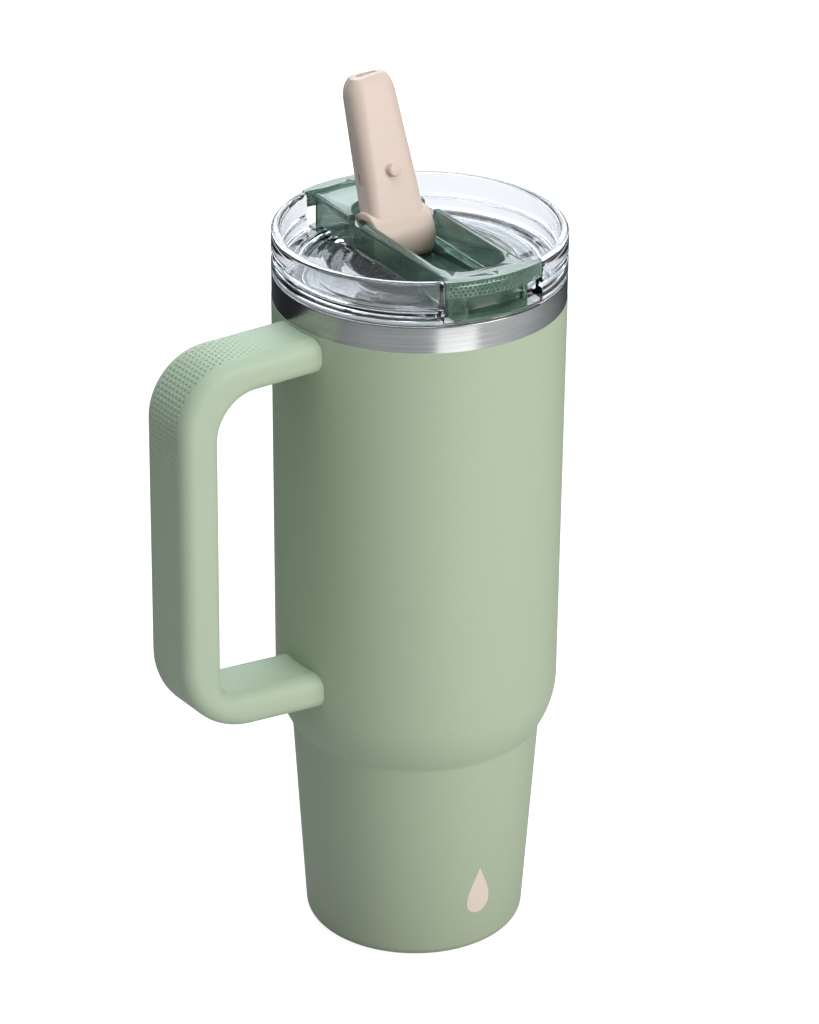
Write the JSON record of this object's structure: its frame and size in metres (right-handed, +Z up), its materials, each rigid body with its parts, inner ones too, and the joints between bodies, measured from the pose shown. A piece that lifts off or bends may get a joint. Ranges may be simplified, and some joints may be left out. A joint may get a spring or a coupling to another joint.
{
  "type": "insulated tumbler with lid",
  "caption": "Tall vacuum-walled steel tumbler with a stepped-in cup-holder base, side loop handle and clear screw lid with a fold-down straw spout.",
  "frame": {"origin": "on the body's axis, in the plane the tumbler stands on", "axes": "+Z up along the body's axis, handle towards -X, spout hinged across the lid and folding towards -Y"},
  "size_m": [0.1377, 0.09, 0.2764],
  "materials": {
    "powder_coat": "matte sage-green powder coat with a very fine orange-peel grain",
    "bare_steel": "bare stainless steel, finely brushed round the body",
    "grip_plastic": "soft-touch sage plastic, dimpled over the outside of the grip",
    "clear_plastic": "polished clear copolyester",
    "tinted_plastic": "see-through dark green copolyester",
    "blush_plastic": "satin blush-pink plastic",
    "silicone": "translucent white silicone",
    "getter_alloy": "sintered grey metal"
  },
  "bodies": {
    "cup": {"outer_shell": "powder_coat", "inner_liner": "bare_steel", "shell_bottom": "bare_steel", "vacuum_plug": "bare_steel", "getter": "getter_alloy", "base_plate": "powder_coat", "handle": "grip_plastic", "handle_lug_upper": "bare_steel", "handle_lug_lower": "bare_steel", "handle_screw_upper": "bare_steel", "handle_screw_lower": "bare_steel", "screw_cap_upper": "grip_plastic", "screw_cap_lower": "grip_plastic"},
    "gasket": {"mouth_gasket": "silicone"},
    "seal_ring": {"skirt_seal": "silicone"},
    "lid": {"lid_body": "clear_plastic", "lid_bridge": "tinted_plastic", "hub_seal": "silicone", "vent_grommet": "silicone", "pivot_pin_left": "bare_steel", "pivot_pin_right": "bare_steel", "straw_connector": "silicone", "straw": "clear_plastic"},
    "spout": {"straw_spout": "blush_plastic", "vent_plug": "blush_plastic"}
  },
  "joints": [
    {"name": "lid_lift", "type": "slide", "parent": "cup", "child": "gasket", "axis": [0, 0, 1], "range_m": [0, 0.225]},
    {"name": "lid_rise", "type": "slide", "parent": "gasket", "child": "seal_ring", "axis": [0, 0, 1], "range_m": [0, 0.008]},
    {"name": "lid_turn", "type": "hinge", "parent": "seal_ring", "child": "lid", "pos_m": [0, 0, 0.22], "axis": [0, 0, 1], "range_deg": [0, 360]},
    {"name": "spout_flip", "type": "hinge", "parent": "lid", "child": "spout", "pos_m": [0.0011, 0.01496, 0.229], "axis": [0.9973, -0.0732, 0], "range_deg": [0, 110]}
  ],
  "couplings": [
    {"joint": "lid_rise", "follows": "lid_turn", "m_per_rad": 0.001273}
  ]
}
